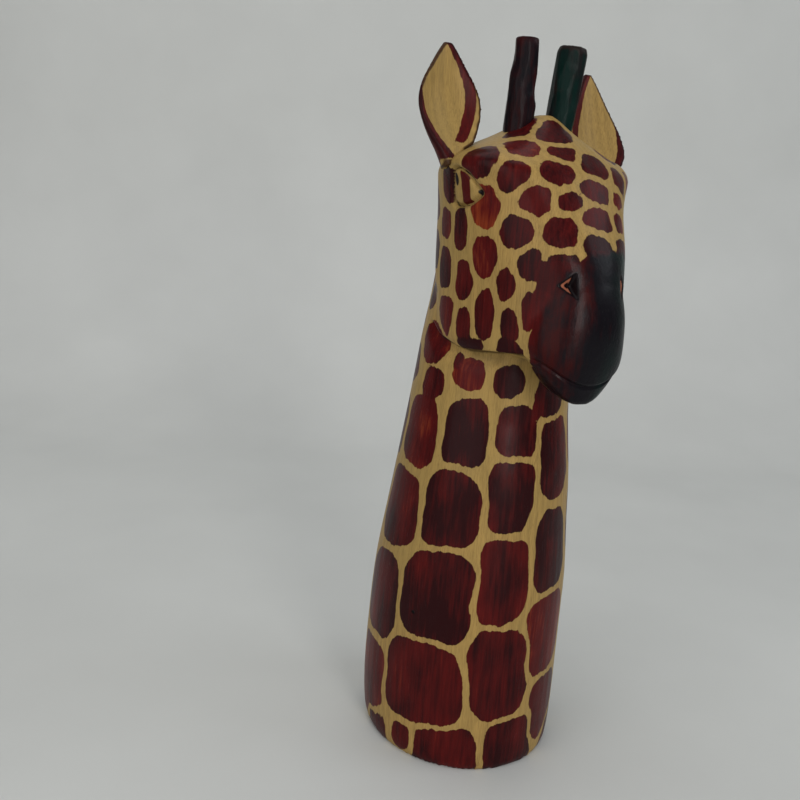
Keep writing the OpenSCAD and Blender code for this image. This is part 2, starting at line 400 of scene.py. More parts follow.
def carve_features(mesh, sizes):
    """Brows, eyes, nostrils and lips, each cut along the surface's own normal."""
    spots, out = places(mesh), normals(mesh)
    lift = np.zeros(len(spots))
    for side in (-1, 1):
        seen = mirrored(spots, side)
        x, y, z = seen.T
        outer = smooth_step(-x, 14, 19)
        brow = dent(z - 168.3 + 0.10 * (y + 20), 2.6) * smooth_step(-y, 9, 15) * outer
        lift += sizes.brow_swell / MM * brow * smooth_step(y, -30, -24)
        lift -= 0.5 * dent(z - 163, 5.5) * dent(y + 18, 7.0) * outer
        lift -= 1.0 * dent(z - 158.5, 5.0) * dent(y + 26.5, 6.0) * smooth_step(-x, 8, 14)
        gap = eye_gap(spots, side)
        lift -= sizes.eye_depth / MM * dent(gap + 0.35, 0.55)
        ball = np.clip(1 - ((y + 17.6) / 5.6) ** 2 - ((z - 160.8) / 5.2) ** 2, 0, 1)
        lift += np.where(gap < 0, 0.75 * np.sqrt(ball) - 0.62, 0)
        notch = np.clip(-nostril_gap(spots, side) * 1.5, 0, 2.0)
        lift -= sizes.nostril_depth / MM * notch / 2.0
    line = spots[:, 2] - mouth_height(spots[:, 0])
    front = smooth_step(-spots[:, 1], 36, 39)
    lift -= sizes.mouth_depth / MM * dent(line, 0.55) * front
    lift -= 0.4 * smooth_step(-line, 0.1, 1.2) * smooth_step(spots[:, 2], 106.5, 112.5) * front
    ridge = dent(spots[:, 0], 2.2) * smooth_step(-spots[:, 1], 17, 24)
    lift += 0.35 * ridge * smooth_step(spots[:, 2], 158, 170)
    drop, reach = jaw_drop(spots)
    lift -= 1.3 * smooth_step(drop, -0.1, 0.7) * smooth_step(drop, 6.5, 1.2) * reach
    put_places(mesh, spots + lift[:, None] * out)


# ---- the block: where the paint goes --------------------------------------------------
def neck_centre(z):
    return -0.045 * np.maximum(0, z - 20)


def on_head(spots):
    """Which points are on the head and not the neck, and the same with a wider seam."""
    heights = (104, 121, 135, 150, 164, 172)
    half_w = np.interp(spots[:, 2], heights, (22.5, 20.8, 19.3, 19.0, 19.0, 16.0))
    half_d = np.interp(spots[:, 2], heights, (23.6, 22.5, 21.4, 20.7, 19.0, 15.0))
    centre = np.interp(spots[:, 2], heights, (-3.0, -4.3, -5.8, -7.4, -9.0, -10.5))
    reach = np.hypot(spots[:, 0] / half_w, (spots[:, 1] - centre) / half_d)
    above = spots[:, 2] > 168.0
    shared = (spots[:, 2] > 107) & ((reach > 0.97) | above)
    return (spots[:, 2] > 107) & ((reach > 1.03) | above), shared


CROWDING = 2.2
# How much further than its outline the paint spreads on the head, in mm.
HEAD_SPREAD = 0.75


def patch_gap(u, v, half_w, half_h, square, rng):
    """Distance outside one hand-painted patch, negative inside it."""
    f = (np.abs(u / half_w) ** square + np.abs(v / half_h) ** square) ** (1 / square)
    turn = np.arctan2(v / half_h, u / half_w)
    for lobes, size in ((2, 0.035), (3, 0.045), (5, 0.028), (8, 0.016)):
        f = f * (1 + size * rng.uniform(0.4, 1.2) * np.sin(lobes * turn + rng.uniform(0, 6.3)))
    r = np.maximum(np.hypot(u, v), 1e-4)
    return r - r / np.maximum(f, 1e-6)


def other_side(rows, rng):
    """Fills the rest of each row of the neck in the same manner."""
    full = []
    for row in rows:
        full.extend(row)
        low = min(b - math.degrees(w / 24) for b, z, w, h in row)
        high = max(b + math.degrees(w / 24) for b, z, w, h in row)
        mean_w = sum(w for b, z, w, h in row) / len(row)
        mean_h = sum(h for b, z, w, h in row) / len(row)
        mean_z = sum(z for b, z, w, h in row) / len(row)
        room = 360 - (high - low)
        count = max(1, round(room / math.degrees((2 * mean_w + 2.6) / 26)))
        for k in range(count):
            bearing = high + room * (k + 0.5) / count
            half = math.radians(room / count) * 26 / 2 - 1.25
            lift = rng.uniform(-3.0, 3.0) * (mean_h / 10)
            full.append((bearing, mean_z + lift, half * rng.uniform(0.93, 1.0),
                         mean_h * rng.uniform(0.92, 1.04)))
    return full


def all_side_spots(rng):
    """The right side's patches, and the left side's a little moved and resized."""
    spots = list(SIDE_SPOTS)
    for x, y, z, w, h, tilt in SIDE_SPOTS:
        if x > -14.5 and z > 150:
            continue
        slip = rng.uniform(-0.8, 0.8)
        spots.append((-x, y + slip, z + rng.uniform(-0.8, 0.8), w * rng.uniform(0.9, 1.05),
                      h * rng.uniform(0.92, 1.05), -tilt))
    return spots


def lay_out_patches(spots, out, seed):
    """For each point, the distance to the nearest patch's edge and that patch's tone."""
    rng = random.Random(seed)
    head, shared = on_head(spots)
    best = np.full(len(spots), 9.0)
    touch = np.full(len(spots), 9.0)
    crowd = np.zeros(len(spots))
    tone = np.zeros(len(spots))

    def paint(gap, where, shade, apart=True):
        nonlocal best, touch, crowd, tone
        gap = np.where(where, gap, 9.0)
        tone = np.where(gap < np.minimum(best, touch), shade, tone)
        if apart:
            crowd = crowd + np.exp(-CROWDING * gap)
            best = np.minimum(best, gap)
        else:
            touch = np.minimum(touch, gap)

    y = spots[:, 1] - neck_centre(spots[:, 2])
    bearing = np.arctan2(-spots[:, 0], -y)
    radius = np.hypot(spots[:, 0], y)
    neck = other_side(NECK_ROWS, rng) + [p for r in NAPE_ROWS for p in r]
    for around, z, half_w, half_h in neck + list(NECK_TOUCHES):
        turn = (bearing - math.radians(around) + math.pi) % (2 * math.pi) - math.pi
        square = 2.9 if z < 105 else 2.15
        gap = patch_gap(radius * turn, spots[:, 2] - z, half_w, half_h, square, rng)
        apart = (around, z, half_w, half_h) not in NECK_TOUCHES
        paint(gap, ~head & (np.abs(turn) < 1.2), rng.uniform(0, 0.55), apart)
    jaw = list(JAW_TOUCHES) + [(-x, *rest[:4], -rest[4]) for x, *rest in JAW_TOUCHES]
    for spot in list(MIDDLE_SPOTS) + all_side_spots(rng) + jaw:
        x, y0, z, half_w, half_h, tilt = spot
        offset = spots - np.array((x, y0, z))
        nearest = np.argmin((offset ** 2).sum(1))
        close = (offset ** 2).sum(1) < (offset[nearest] ** 2).sum() + 2.0 ** 2
        up = out[close].mean(0)
        up /= np.linalg.norm(up)
        across = np.cross(up, (0, 0, 1.0))
        across /= np.linalg.norm(across)
        rise = np.cross(across, up)
        offset = spots - spots[nearest]
        u, v = offset @ across, offset @ rise
        c, s = math.cos(math.radians(tilt)), math.sin(math.radians(tilt))
        u, v = u * c + v * s, v * c - u * s
        near = (np.abs(offset @ up) < 5) & (out @ up > 0.15) & shared
        shade = 0.9 if z == 156.7 else rng.uniform(0.05, 0.5)
        if spot in jaw:
            shade = 0.0
        paint(patch_gap(u, v, half_w, half_h, 2.25, rng), near, shade, spot not in jaw)
    # Neighbours keep a line of bare wood between them, wider where three meet.
    others = -np.log(np.maximum(crowd - np.exp(-CROWDING * best), 1e-9)) / CROWDING
    border = (best - others) / 2 + np.where(head, 0.7, 0.75)
    best = best - np.where(head, HEAD_SPREAD, 0.0)
    best = np.log(np.exp(1.5 * best) + np.exp(1.5 * border)) / 1.5
    return np.clip(np.minimum(best, touch), -4, 4), tone


def muzzle_gap(spots):
    """Distance outside the dark paint of the muzzle."""
    x, y, z = spots.T
    behind = y + 36.6 + 0.35 * np.sin(z * 0.55) - 7.0 * smooth_step(z, 120.5, 115.0)
    above = z - 145.0 - 3.2 * smooth_step(x, -6.5, 1.0) + 0.6 * np.sin(x * 0.5)
    below = 107.5 - z
    return np.log(np.exp(behind * 0.6) + np.exp(above * 0.6) + np.exp(below * 0.6)) / 0.6


def lay_out_paint(mesh, seed):
    """Writes the paint's layout on the mesh as layers that the finish reads."""
    spots, out = places(mesh), normals(mesh)
    patch, tone = lay_out_patches(spots, out, seed)
    muzzle = muzzle_gap(spots)
    iris = np.full(len(spots), 9.0)
    ink = np.full(len(spots), 9.0)
    bare = np.full(len(spots), 9.0)
    eyes = np.full(len(spots), 9.0)
    for side in (-1, 1):
        x, y, z = mirrored(spots, side).T
        gap = eye_gap(spots, side)
        eyes = np.minimum(eyes, gap)
        band = np.abs(y + 17.9 + 0.05 * (z - 161)) - 1.45
        iris = np.minimum(iris, np.maximum(band, gap + 0.75))
        for dot_y, dot_z, size in ((-21.6, 159.8, 0.35), (-14.7, 163.0, 0.7)):
            dot = np.hypot(y - dot_y, (z - dot_z) * 0.45) - size
            ink = np.minimum(ink, np.where(x < -14, dot, 9.0))
        ink = np.minimum(ink, np.where(x < -14, np.abs(gap + 0.35) - 0.12, 9.0))
        notch = nostril_gap(spots, side)
        fork = np.abs(notch + 0.75) - 0.28
        fork = np.maximum(fork, x + 7.9)
        bare = np.minimum(bare, np.where(y < -36, fork, 9.0))
        ink = np.minimum(ink, np.where(notch < 3, notch - 0.15, 9.0))
    add_layer(mesh, "patch", patch)
    add_layer(mesh, "tone", tone)
    add_layer(mesh, "muzzle", np.clip(muzzle, -6, 6))
    red_zone = smooth_step(-spots[:, 0], 5, 12) * smooth_step(spots[:, 2], 112, 140)
    add_layer(mesh, "black", np.clip(muzzle + 0.6 + 2.8 * red_zone, -6, 6))
    add_layer(mesh, "eye", np.clip(eyes, -4, 4))
    add_layer(mesh, "iris", np.clip(iris, -4, 4))
    add_layer(mesh, "ink", np.clip(ink, -4, 4))
    add_layer(mesh, "bare", np.clip(bare, -4, 4))
    drop, reach = jaw_drop(spots)
    # Painted shadow: the knife line under the jaw is added to the hollow layer so that the finish darkens it
    # like the shadow in the cut.
    cut = 0.5 * dent(drop - 0.45, 0.5) * reach
    add_layer(mesh, "hollow", hollows(mesh, edge_ends(mesh)) + cut)


# ---- finishes -----------------------------------------------------------------------------
def add(tree, kind, inputs=None, **settings):
    """Adds a node; an input that is a socket is linked, anything else is its value."""
    node = tree.nodes.new(kind)
    for name, value in settings.items():
        setattr(node, name, value)
    for name, value in (inputs or {}).items():
        if isinstance(value, bpy.types.NodeSocket):
            tree.links.new(value, node.inputs[name])
        else:
            node.inputs[name].default_value = value
    return node


def sum_of(tree, operation, a, b, clamp=False):
    node = add(tree, "ShaderNodeMath", {0: a, 1: b}, operation=operation, use_clamp=clamp)
    return node.outputs[0]


def grain(tree, per_mm, detail=3.0, rough=0.55, twist=0.0, offset=(0, 0, 0)):
    """Noise whose spacing is given across, deep and along the grain, in turns a mm."""
    coord = add(tree, "ShaderNodeTexCoord").outputs["Object"]
    scale = tuple(turns / MM for turns in per_mm)
    mapped = add(tree, "ShaderNodeMapping", {"Vector": coord, "Scale": scale, "Location": offset})
    noise = add(tree, "ShaderNodeTexNoise",
                {"Vector": mapped.outputs[0], "Scale": 1.0, "Detail": detail,
                 "Roughness": rough, "Distortion": twist})
    return noise.outputs[0]


def ramp(tree, value, *stops):
    node = add(tree, "ShaderNodeValToRGB", {0: value})
    marks = node.color_ramp.elements
    while len(marks) < len(stops):
        marks.new(0.5)
    for mark, (place, colour) in zip(marks, stops):
        mark.position = place
        mark.color = (*colour, 1.0) if isinstance(colour, tuple) else (colour, colour, colour, 1.0)
    return node.outputs[0]


def mixed(tree, mask, under, over, kind="MIX"):
    node = add(tree, "ShaderNodeMix", data_type="RGBA", blend_type=kind, clamp_factor=True)
    for index, value in ((0, mask), (6, under), (7, over)):
        if isinstance(value, bpy.types.NodeSocket):
            tree.links.new(value, node.inputs[index])
        elif index == 0:
            node.inputs[index].default_value = value
        else:
            node.inputs[index].default_value = (*value, 1.0)
    return node.outputs[2]


def layer(tree, name):
    return add(tree, "ShaderNodeAttribute", attribute_name=name).outputs["Fac"]


def remap(tree, value, low, high, to_low=0.0, to_high=1.0):
    node = add(tree, "ShaderNodeMapRange",
               {0: value, 1: low, 2: high, 3: to_low, 4: to_high}, interpolation_type="SMOOTHSTEP")
    return node.outputs[0]


def painted(tree, gap, fringe, fringe_mm, soft=0.10):
    """A mask that is 1 inside the layout's edge, with the brush's fringe on it."""
    ragged = sum_of(tree, "MULTIPLY", sum_of(tree, "SUBTRACT", fringe, 0.5), fringe_mm)
    return remap(tree, sum_of(tree, "ADD", gap, ragged), soft, -soft)


def wood_colour(tree, colours):
    """Fine straight fibres, soft growth rings and short dark pores."""
    fibre = grain(tree, (3.4, 3.4, 0.22), 4.0, 0.62, 0.15)
    coord = add(tree, "ShaderNodeTexCoord").outputs["Object"]
    heart = add(tree, "ShaderNodeMapping", {"Vector": coord, "Scale": (1 / MM, 1 / MM, 0.6 / MM),
                                            "Location": (52.0, 64.0, 0.0),
                                            "Rotation": (0.10, 0.06, 0.0)})
    rings = add(tree, "ShaderNodeTexWave",
                {"Vector": heart.outputs[0], "Scale": 0.14, "Distortion": 5.0, "Detail": 3.0,
                 "Detail Scale": 0.35}, wave_type="RINGS", rings_direction="Z")
    mix = sum_of(tree, "ADD", sum_of(tree, "MULTIPLY", fibre, 0.82),
                 sum_of(tree, "MULTIPLY", rings.outputs["Fac"], 0.11))
    base = ramp(tree, mix, (0.28, tuple(colours.wood_dark)), (0.60, tuple(colours.wood_light)),
                (0.9, tuple(min(1, c * 1.10) for c in colours.wood_light)))
    broad = grain(tree, (0.035, 0.035, 0.02), 2.0)
    base = mixed(tree, remap(tree, broad, 0.35, 0.7, 0.0, 0.35), base, (0.30, 0.215, 0.070), "MIX")
    pores = remap(tree, grain(tree, (3.6, 3.6, 0.28), 2.0, 0.5, 0.0, (7.0, 2.0, 5.0)), 0.36, 0.27)
    base = mixed(tree, sum_of(tree, "MULTIPLY", pores, 0.40), base, (0.13, 0.062, 0.018))
    return base, fibre, pores


def shader(tree, colour, rough, bump, coat, coat_rough):
    surface = tree.nodes["Principled BSDF"]
    tree.links.new(colour, surface.inputs["Base Color"])
    tree.links.new(rough, surface.inputs["Roughness"])
    tree.links.new(bump, surface.inputs["Normal"])
    surface.inputs["Coat Weight"].default_value = coat
    surface.inputs["Coat Roughness"].default_value = coat_rough
    surface.inputs["Coat IOR"].default_value = 1.5
    surface.inputs["Specular IOR Level"].default_value = VARNISH_SPECULAR
    return surface


def relief(tree, *parts):
    """A bump from (height, depth in mm) pairs."""
    total = None
    for height, depth in parts:
        part = sum_of(tree, "MULTIPLY", height, depth)
        total = part if total is None else sum_of(tree, "ADD", total, part)
    bump = add(tree, "ShaderNodeBump", {"Strength": 1.0, "Distance": MM, "Height": total})
    return bump.outputs[0]


def new_finish(name):
    material = bpy.data.materials.new(name)
    material.use_nodes = True
    return material, material.node_tree


def patch_paint(tree, colours, tone):
    """Thin red-brown paint, streaked along the grain."""
    streak = grain(tree, (1.1, 1.1, 0.06), 4.0, 0.6, 0.2, (11.0, 4.0, 0.0))
    cloud = grain(tree, (0.11, 0.11, 0.06), 2.0, 0.5, 0.3, (2.0, 9.0, 4.0))
    depth = sum_of(tree, "ADD", sum_of(tree, "MULTIPLY", streak, 0.45),
                   sum_of(tree, "MULTIPLY", cloud, 0.55))
    depth = sum_of(tree, "ADD", depth, sum_of(tree, "MULTIPLY", sum_of(tree, "SUBTRACT", tone, 0.35), 0.34))
    return ramp(tree, depth, (0.37, tuple(colours.patch_dark)), (0.60, tuple(colours.patch_red)),
                (0.82, tuple(colours.patch_orange))), streak


def dark_paint(tree, colours, green_side, lean):
    """Near-black paint over burgundy, with a green tint on one side."""
    cloud = grain(tree, (0.12, 0.12, 0.05), 3.0, 0.6, 0.5, (5.0, 1.0, 2.0))
    streak = grain(tree, (0.9, 0.9, 0.09), 3.0, 0.6, 0.2, (1.0, 6.0, 3.0))
    mix = sum_of(tree, "ADD", sum_of(tree, "MULTIPLY", cloud, 0.7), sum_of(tree, "MULTIPLY", streak, 0.3))
    red = tuple(0.42 * c for c in colours.patch_red)
    base = mixed(tree, remap(tree, sum_of(tree, "ADD", mix, lean), 0.50, 0.74), tuple(colours.black), red)
    tint = grain(tree, (0.10, 0.10, 0.06), 2.0, 0.5, 0.4, (8.0, 8.0, 1.0))
    mask = sum_of(tree, "MULTIPLY", remap(tree, tint, 0.32, 0.56), green_side)
    return mixed(tree, mask, base, tuple(colours.green)), streak


def block_finish(colours):
    """Varnished wood with painted patches, dark muzzle, eyes and nostrils."""
    material, tree = new_finish("painted_wood")
    wood, fibre, pores = wood_colour(tree, colours)
    fringe = grain(tree, (0.62, 0.62, 0.17), 3.0, 0.55, 0.1, (4.0, 4.0, 4.0))
    patch_mask = painted(tree, layer(tree, "patch"), fringe, 1.7)
    paint, streak = patch_paint(tree, colours, layer(tree, "tone"))
    colour = mixed(tree, patch_mask, wood, paint)
    muzzle = layer(tree, "muzzle")
    red_mask = painted(tree, muzzle, fringe, 2.6)
    red = mixed(tree, 0.25, paint, tuple(colours.patch_red))
    colour = mixed(tree, red_mask, colour, red)
    place = add(tree, "ShaderNodeSeparateXYZ", {0: add(tree, "ShaderNodeTexCoord").outputs["Object"]})
    green_side = remap(tree, place.outputs[0], -1.0 * MM, 9.0 * MM)
    lean = remap(tree, place.outputs[0], -13.0 * MM, 4.0 * MM, 0.15, -0.15)
    dark, _ = dark_paint(tree, colours, green_side, lean)
    cloud = grain(tree, (0.30, 0.30, 0.12), 3.0, 0.6, 0.3, (9.0, 0.0, 6.0))
    dark_mask = painted(tree, layer(tree, "black"), cloud, 5.0, 1.0)
    colour = mixed(tree, dark_mask, colour, dark)
    eye_mask = painted(tree, layer(tree, "eye"), fringe, 0.3)
    colour = mixed(tree, eye_mask, colour, wood)
    iris_mask = painted(tree, layer(tree, "iris"), fringe, 0.7)
    colour = mixed(tree, iris_mask, colour, tuple(0.75 * c for c in colours.patch_red))
    ink_mask = painted(tree, layer(tree, "ink"), fringe, 0.3)
    colour = mixed(tree, ink_mask, colour, (0.006, 0.003, 0.004))
    bare_mask = painted(tree, layer(tree, "bare"), fringe, 0.4)
    colour = mixed(tree, bare_mask, colour, (0.36, 0.125, 0.070))
    # Painted shade: the finish darkens the hollows and the knife line under the jaw, as where shade falls in
    # them.
    crease_shade = remap(tree, layer(tree, "hollow"), 0.05, 0.45, 0.0, 0.75)
    colour = mixed(tree, crease_shade, colour, (0.035, 0.012, 0.006), "MULTIPLY")
    coord = add(tree, "ShaderNodeTexCoord").outputs["Object"]
    away = add(tree, "ShaderNodeVectorMath", {0: coord, 1: tuple(c * MM for c in WORM_HOLE)},
               operation="DISTANCE").outputs["Value"]
    # Painted shade: the near-black spot stands for the shade inside the worm hole, which the bump only
    # dents.
    pin = remap(tree, away, 0.65 * MM, 0.35 * MM)
    colour = mixed(tree, pin, colour, (0.002, 0.001, 0.001))
    any_paint = sum_of(tree, "MAXIMUM", patch_mask, red_mask)
    ripple = grain(tree, (0.9, 0.9, 0.7), 3.0, 0.6, 0.0, (6.0, 6.0, 6.0))
    rough = remap(tree, streak, 0.3, 0.7, 0.34, 0.46)
    rough = sum_of(tree, "ADD", rough, remap(tree, any_paint, 0, 1, 0.03, -0.04))
    lumps = grain(tree, (0.75, 0.75, 0.55), 3.0, 0.65, 0.4, (1.0, 5.0, 8.0))
    lumps = sum_of(tree, "MULTIPLY", lumps, dark_mask)
    bump = relief(tree, (fibre, 0.030), (pores, -0.03), (any_paint, 0.02), (ripple, 0.045),
                  (lumps, 0.13), (pin, -0.6))
    shader(tree, colour, rough, bump, 0.09, 0.2)
    return material


def horn_finish(colours):
    material, tree = new_finish("horn_paint")
    place = add(tree, "ShaderNodeSeparateXYZ", {0: add(tree, "ShaderNodeTexCoord").outputs["Object"]})
    green_side = remap(tree, place.outputs[0], 0.0, 3.0 * MM)
    lean = remap(tree, green_side, 0.0, 1.0, 0.08, -0.08)
    dark, streak = dark_paint(tree, colours, green_side, lean)
    fibre = grain(tree, (3.4, 3.4, 0.22), 4.0, 0.62, 0.15)
    pores = remap(tree, grain(tree, (3.6, 3.6, 0.28), 2.0, 0.5, 0.0, (7.0, 2.0, 5.0)), 0.36, 0.27)
    wear = remap(tree, layer(tree, "hollow"), -0.05, -0.12, 0.0, 0.3)
    colour = mixed(tree, wear, dark, tuple(0.5 * c for c in colours.patch_red))
    haze = remap(tree, grain(tree, (0.5, 0.5, 0.08), 3.0, 0.6, 0.3, (3.0, 3.0, 9.0)), 0.45, 0.75, 0.0, 0.5)
    colour = mixed(tree, haze, colour, (0.016, 0.006, 0.008))
    rough = remap(tree, streak, 0.3, 0.7, 0.30, 0.50)
    bump = relief(tree, (fibre, 0.06), (streak, 0.12), (pores, -0.05))
    shader(tree, colour, rough, bump, 0.06, 0.35)
    return material


def ear_finish(colours):
    material, tree = new_finish("ear_wood")
    wood, fibre, pores = wood_colour(tree, colours)
    fringe = grain(tree, (1.0, 1.0, 0.2), 3.0, 0.62, 0.1, (4.0, 4.0, 4.0))
    mask = painted(tree, layer(tree, "rim"), fringe, 1.0)
    paint, _ = patch_paint(tree, colours, layer(tree, "tone"))
    colour = mixed(tree, mask, wood, paint)
    # Painted shade: the ear's hollows are darkened, as where shade falls in them.
    crease_shade = remap(tree, layer(tree, "hollow"), 0.03, 0.2, 0.0, 0.5)
    colour = mixed(tree, crease_shade, colour, (0.10, 0.04, 0.015), "MULTIPLY")
    edge = remap(tree, layer(tree, "hollow"), -0.09, -0.16, 0.0, 0.9)
    colour = mixed(tree, edge, colour, tuple(colours.patch_dark))
    rough = remap(tree, fibre, 0.3, 0.7, 0.42, 0.56)
    bump = relief(tree, (fibre, 0.045), (pores, -0.04), (mask, 0.02))
    shader(tree, colour, rough, bump, 0.08, 0.3)
    return material


# ---- operators ------------------------------------------------------------------------------
# Each socket's mouth and the way it points out, then the radius and depth of its bore.
HORN_MOUTHS = (((-6.5, -14.0, 175.0), (-0.0434, -0.0958, 0.9944)),
               ((6.5, -14.0, 175.0), (0.0434, -0.0958, 0.9944)))
EAR_MOUTHS = (((-22.6, -10.5, 166.7), (-0.5, 0.0, 0.866)), ((22.6, -10.5, 166.7), (0.5, 0.0, 0.866)))
HORN_BORE = (4.1, 9.0)
EAR_BORE = (2.6, 8.0)


class GIRAFFE_OT_carve_block(bpy.types.Operator):
    """Carve and paint the block: neck, head, muzzle, eyes, nostrils and mouth"""

    bl_idname = "giraffe.carve_block"
    bl_label = "Carve the block"

    def execute(self, context):
        sizes, colours = context.scene.giraffe_sizes, context.scene.giraffe_colours
        bm = merged_copy("neck_and_head")
        for mouth, axis in HORN_MOUTHS:
            plug_socket(bm, mouth, axis, *HORN_BORE)
        for mouth, axis in EAR_MOUTHS:
            plug_socket(bm, mouth, axis, *EAR_BORE)
        piece = even_skin(bm, "carved_block", sizes.block_grid)
        mesh = piece.data
        put_places(mesh, sanded(places(mesh), edge_ends(mesh), 9))
        refine(mesh, fine_zone, 2)
        put_places(mesh, sanded(places(mesh), edge_ends(mesh), 2))
        carve_features(mesh, sizes)
        lay_out_paint(mesh, sizes.hand)
        finish_piece(piece, block_finish(colours), "painted_wood", "neck_and_head")
        return {"FINISHED"}


def whittle(spots, foot, axis, cuts, rng):
    """Flat knife cuts along a peg, each a plane that takes off a thin sliver."""
    foot, axis = np.array(foot), np.array(axis) / np.linalg.norm(axis)
    side = np.cross(axis, (0, 1.0, 0))
    side /= np.linalg.norm(side)
    front = np.cross(axis, side)
    whole = spots - foot
    along = whole @ axis
    for _ in range(cuts):
        offset = spots - foot
        height, turn = rng.uniform(2, 25), rng.uniform(0, 2 * math.pi)
        face = side * math.cos(turn) + front * math.sin(turn)
        face = face + axis * rng.uniform(-0.07, 0.07)
        face /= np.linalg.norm(face)
        band = np.abs(along - height) < 1.2
        if not band.any():
            continue
        far = (whole[band] @ face - height * (axis @ face)).max()
        limit = far * rng.uniform(0.95, 0.99) + height * (axis @ face)
        length = rng.uniform(5, 12)
        fade = smooth_step(np.abs(along - height), length, length * 0.55)
        over = np.clip(offset @ face - limit, 0, 0.5) * fade
        spots = spots - over[:, None] * face
    return spots


class GIRAFFE_OT_whittle_horns(bpy.types.Operator):
    """Whittle and paint the two horns"""

    bl_idname = "giraffe.whittle_horns"
    bl_label = "Whittle the horns"

    def execute(self, context):
        sizes, colours = context.scene.giraffe_sizes, context.scene.giraffe_colours
        finish = horn_finish(colours)
        for node, (mouth, axis) in zip(("horn_right", "horn_left"), HORN_MOUTHS):
            rng = random.Random(sizes.hand + len(node))
            piece = even_skin(merged_copy(node), "whittled_" + node, sizes.small_grid)
            mesh = piece.data
            spots = sanded(places(mesh), edge_ends(mesh), 1)
            spots = whittle(spots, mouth, axis, sizes.knife_cuts, rng)
            put_places(mesh, sanded(spots, edge_ends(mesh), 1))
            add_layer(mesh, "hollow", hollows(mesh, edge_ends(mesh)))
            finish_piece(piece, finish, "horn_paint", node)
        return {"FINISHED"}


def ear_frame(side):
    """The place of the blade's root and its across, forward and up directions."""
    tilt, splay = (9.0, 3.0) if side < 0 else (14.0, 0.0)
    lean, out = math.radians(-tilt), math.radians(side * splay)
    turn_x = np.array(((1, 0, 0), (0, math.cos(lean), -math.sin(lean)), (0, math.sin(lean), math.cos(lean))))
    turn_y = np.array(((math.cos(out), 0, math.sin(out)), (0, 1, 0), (-math.sin(out), 0, math.cos(out))))
    turn = turn_y @ turn_x
    root = np.array((side * 22.6, -10.5, 166.7)) + turn @ np.array((side * 1.0, -1.0, 0))
    return root, turn


def lay_out_ear(mesh, side):
    """Paint along the inner edge, the lower outer edge and the back of an ear."""
    spots, out = places(mesh), normals(mesh)
    root, turn = ear_frame(side)
    local = (spots - root) @ turn
    facing = out @ turn
    across, height = -side * local[:, 0], local[:, 2] / 30.0
    steps = np.linspace(0.02, 0.98, 33)
    inner = [across[np.abs(height - h) < 0.025].max() for h in steps]
    outer = [across[np.abs(height - h) < 0.025].min() for h in steps]
    from_inner = np.interp(height, steps, inner) - across
    from_outer = across - np.interp(height, steps, outer)
    centre = 1.1 + 5.4 * np.clip(0.80 - height, 0, 1)
    band = np.abs(from_inner - centre) - (1.25 + 0.7 * np.clip(0.8 - height, 0, 0.5))
    band = np.maximum(band, (0.17 - height) * 30)
    lower = from_outer - 0.3 - 6.2 * np.clip(0.64 - height, 0, 0.62)
    lower = np.maximum(lower, (0.03 - height) * 30)
    front = facing[:, 1] < 0.25
    back = np.where(facing[:, 1] > -0.05, -2.0 * facing[:, 1] + 0.55, 2.0)
    gap = np.minimum(np.where(front, np.minimum(band, lower), 4.0), back)[:, None]
    for _ in range(3):
        gap = neighbour_mean(gap, edge_ends(mesh))
    add_layer(mesh, "rim", np.clip(gap[:, 0], -4, 4))
    add_layer(mesh, "tone", np.full(len(spots), 0.45))
    add_layer(mesh, "hollow", hollows(mesh, edge_ends(mesh)))


class GIRAFFE_OT_shape_ears(bpy.types.Operator):
    """Shape and paint the two leaf ears"""

    bl_idname = "giraffe.shape_ears"
    bl_label = "Shape the ears"

    def execute(self, context):
        sizes, colours = context.scene.giraffe_sizes, context.scene.giraffe_colours
        finish = ear_finish(colours)
        for side, node in ((-1, "ear_right"), (1, "ear_left")):
            piece = even_skin(merged_copy(node), "leaf_" + node, sizes.small_grid)
            mesh = piece.data
            put_places(mesh, sanded(places(mesh), edge_ends(mesh), 10))
            lay_out_ear(mesh, side)
            finish_piece(piece, finish, "ear_wood", node)
        return {"FINISHED"}


def soft_light(name, place, aim, width, height, power, tint):
    light = bpy.data.lights.new(name, "AREA")
    light.shape = "RECTANGLE"
    light.size, light.size_y = width, height
    light.energy = power
    light.color = tint
    lamp = bpy.data.objects.new(name, light)
    lamp.location = place
    away = np.array(aim) - np.array(place)
    flat = math.hypot(away[0], away[1])
    lamp.rotation_euler = (math.pi / 2 - math.atan2(-away[2], flat), 0, math.atan2(-away[0], away[1]))
    bpy.context.scene.collection.objects.link(lamp)


